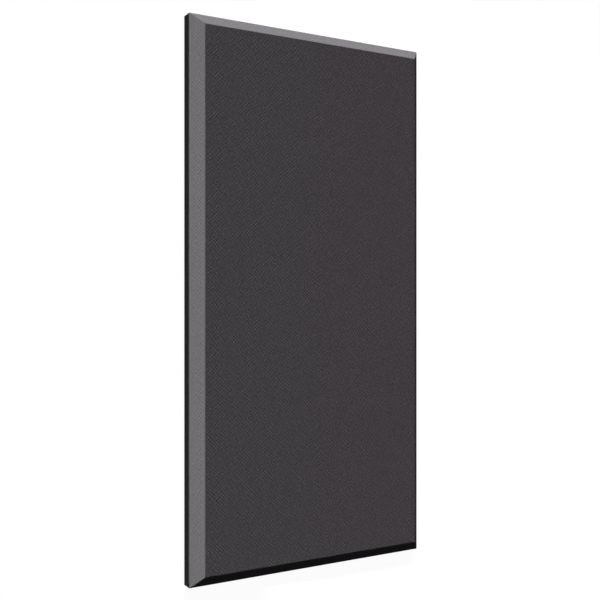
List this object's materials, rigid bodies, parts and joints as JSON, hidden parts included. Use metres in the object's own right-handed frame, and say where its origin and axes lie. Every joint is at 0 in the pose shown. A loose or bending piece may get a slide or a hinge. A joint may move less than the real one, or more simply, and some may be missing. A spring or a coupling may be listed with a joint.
{
  "type": "fabric acoustic wall panel",
  "caption": "Rectangular sound-absorbing wall panel with bevelled front edges: a rigid fibre board wrapped in woven cloth that is turned in over the back.",
  "frame": {"origin": "centre of the back, on the plane of the turned-in cloth that bears on the wall", "axes": "+Z out of the panel's face, +Y along its length, +X across its width; it is stored lying face up"},
  "size_m": [0.6096, 1.2192, 0.0508],
  "materials": {
    "charcoal_cloth": "matt woven charcoal cloth",
    "glass_fibre": "matt resin-bonded glass fibre"
  },
  "bodies": {
    "root": {"cloth_cover": "charcoal_cloth", "fibre_board": "glass_fibre"}
  },
  "joints": []
}
